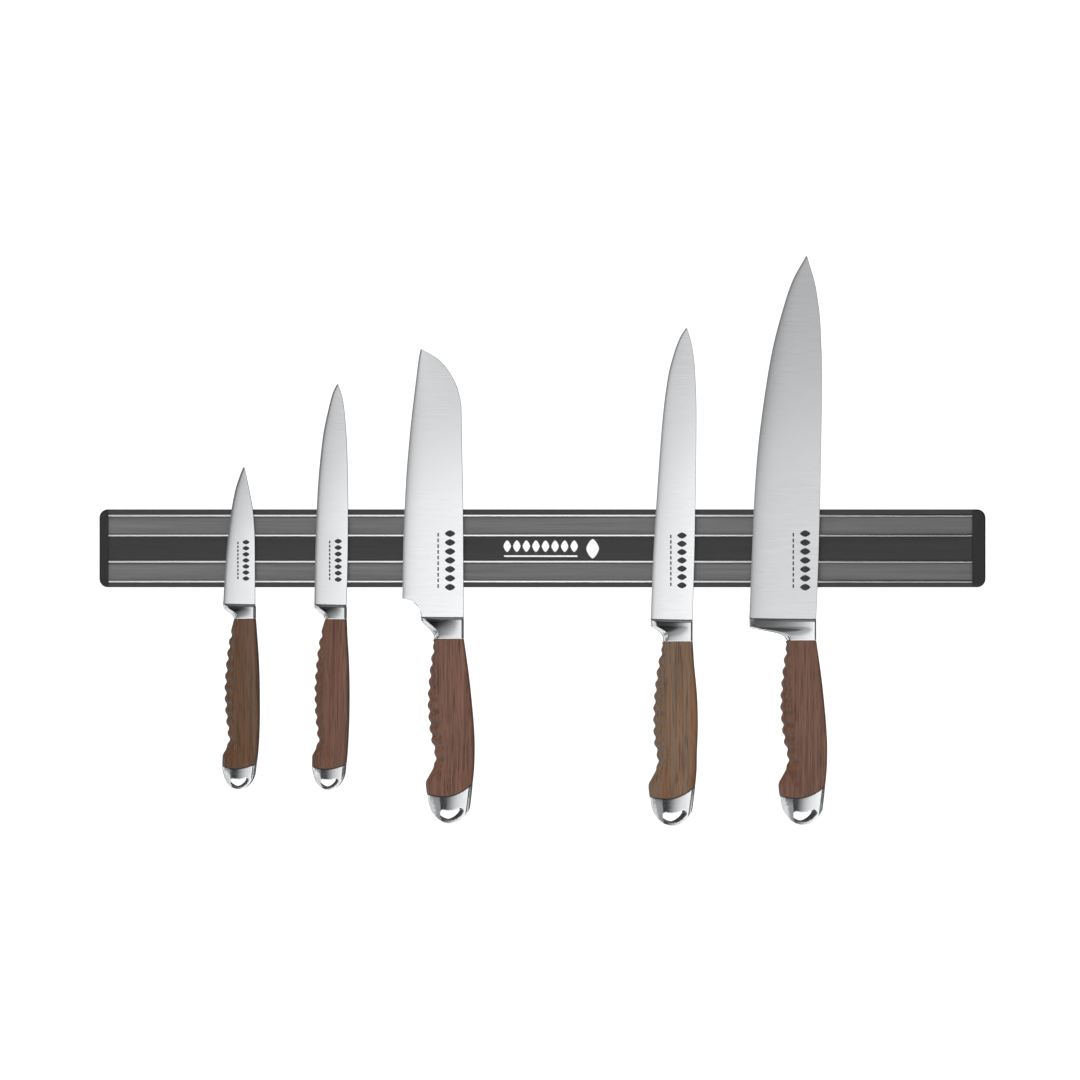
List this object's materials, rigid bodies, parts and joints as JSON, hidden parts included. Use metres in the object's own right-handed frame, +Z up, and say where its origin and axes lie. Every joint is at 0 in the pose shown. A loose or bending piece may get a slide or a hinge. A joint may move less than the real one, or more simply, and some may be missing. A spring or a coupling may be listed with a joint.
{
  "type": "magnetic knife rack with knives",
  "caption": "Wall-mounted double-row magnetic bar holding kitchen knives point up; each knife pulls straight off and has a forged blade, bolster, wooden grip and steel butt.",
  "frame": {"origin": "middle of the rack's flat back face, which lies against the wall", "axes": "+X along the rack to the right, +Z up, +Y into the wall, so the knives face -Y"},
  "size_m": [0.5, 0.0282, 0.3212],
  "materials": {
    "rack_plastic": "satin",
    "cap_plastic": "satin",
    "fascia_black": "satin",
    "cover_grey": "satin",
    "pole_steel": "satin",
    "ferrite": "matte",
    "blade_steel": "satin",
    "bolster_steel": "polished",
    "butt_steel": "polished",
    "tang_steel": "matte",
    "walnut_paring": "satin",
    "walnut_utility": "satin",
    "walnut_santoku": "satin",
    "walnut_carving": "satin",
    "walnut_chef": "satin"
  },
  "bodies": {
    "rack": {"rack_body": "rack_plastic", "end_cap_left": "cap_plastic", "end_cap_right": "cap_plastic", "pole_rail_1": "pole_steel", "pole_rail_2": "pole_steel", "pole_rail_3": "pole_steel", "pole_rail_4": "pole_steel", "magnet_row_upper": "ferrite", "magnet_row_lower": "ferrite", "magnet_cover_upper": "cover_grey", "magnet_cover_lower": "cover_grey", "center_strip": "fascia_black"},
    "paring_knife": {"paring_blade": "blade_steel", "paring_bolster": "bolster_steel", "paring_tang": "tang_steel", "paring_grip": "walnut_paring", "paring_butt": "butt_steel"},
    "utility_knife": {"utility_blade": "blade_steel", "utility_bolster": "bolster_steel", "utility_tang": "tang_steel", "utility_grip": "walnut_utility", "utility_butt": "butt_steel"},
    "santoku_knife": {"santoku_blade": "blade_steel", "santoku_bolster": "bolster_steel", "santoku_tang": "tang_steel", "santoku_grip": "walnut_santoku", "santoku_butt": "butt_steel"},
    "carving_knife": {"carving_blade": "blade_steel", "carving_bolster": "bolster_steel", "carving_tang": "tang_steel", "carving_grip": "walnut_carving", "carving_butt": "butt_steel"},
    "chef_knife": {"chef_blade": "blade_steel", "chef_bolster": "bolster_steel", "chef_tang": "tang_steel", "chef_grip": "walnut_chef", "chef_butt": "butt_steel"}
  },
  "joints": [
    {"name": "paring_pull", "type": "slide", "parent": "rack", "child": "paring_knife", "axis": [0, -1, 0], "range_m": [0, 0.12]},
    {"name": "utility_pull", "type": "slide", "parent": "rack", "child": "utility_knife", "axis": [0, -1, 0], "range_m": [0, 0.12]},
    {"name": "santoku_pull", "type": "slide", "parent": "rack", "child": "santoku_knife", "axis": [0, -1, 0], "range_m": [0, 0.12]},
    {"name": "carving_pull", "type": "slide", "parent": "rack", "child": "carving_knife", "axis": [0, -1, 0], "range_m": [0, 0.12]},
    {"name": "chef_pull", "type": "slide", "parent": "rack", "child": "chef_knife", "axis": [0, -1, 0], "range_m": [0, 0.12]}
  ]
}
